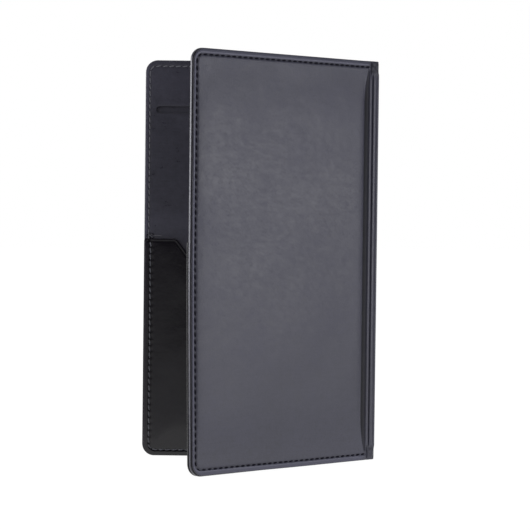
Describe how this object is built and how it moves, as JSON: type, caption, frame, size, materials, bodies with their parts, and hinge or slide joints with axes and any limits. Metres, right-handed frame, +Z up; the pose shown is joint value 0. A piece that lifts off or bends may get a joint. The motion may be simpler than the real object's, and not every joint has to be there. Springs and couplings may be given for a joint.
{
  "type": "guest check presenter",
  "caption": "Folding black leatherette check presenter that stands open on end, with stitched covers, a soft spine, a card slot and scooped check pockets.",
  "frame": {"origin": "middle of the footprint, on the surface that the presenter stands on", "axes": "+Z up the height from tail to head; +X out of the spine's back; the mouth opens towards -X, with the back cover on the -Y side and the front cover on the +Y side"},
  "size_m": [0.126, 0.096, 0.2286],
  "materials": {
    "outer_leatherette": "satin",
    "inner_leatherette": "satin",
    "pocket_leatherette": "satin",
    "thread": "matte",
    "greyboard": "matte",
    "foam_padding": "matte",
    "spine_strip": "matte"
  },
  "bodies": {
    "spine": {"spine_outer_skin": "outer_leatherette", "spine_stay": "spine_strip", "spine_lining": "inner_leatherette"},
    "back_cover": {"back_outer_skin": "outer_leatherette", "back_padding": "foam_padding", "back_board": "greyboard", "back_liner": "inner_leatherette", "back_hinge_lining": "inner_leatherette", "back_check_pocket": "pocket_leatherette", "back_outside_stitches": "thread", "back_inside_stitches": "thread"},
    "front_cover": {"front_outer_skin": "outer_leatherette", "front_padding": "foam_padding", "front_board": "greyboard", "front_liner": "inner_leatherette", "front_hinge_lining": "inner_leatherette", "front_check_pocket": "pocket_leatherette", "front_outside_stitches": "thread", "front_inside_stitches": "thread", "front_card_backing": "inner_leatherette"}
  },
  "joints": [
    {"name": "back_cover_hinge", "type": "hinge", "parent": "spine", "child": "back_cover", "pos_m": [0.06254, -0.0045, 0.1143], "axis": [0, 0, 1], "range_deg": [-19.2, 70.8]},
    {"name": "front_cover_hinge", "type": "hinge", "parent": "spine", "child": "front_cover", "pos_m": [0.06254, 0.0045, 0.1143], "axis": [0, 0, -1], "range_deg": [-19.2, 70.8]}
  ]
}
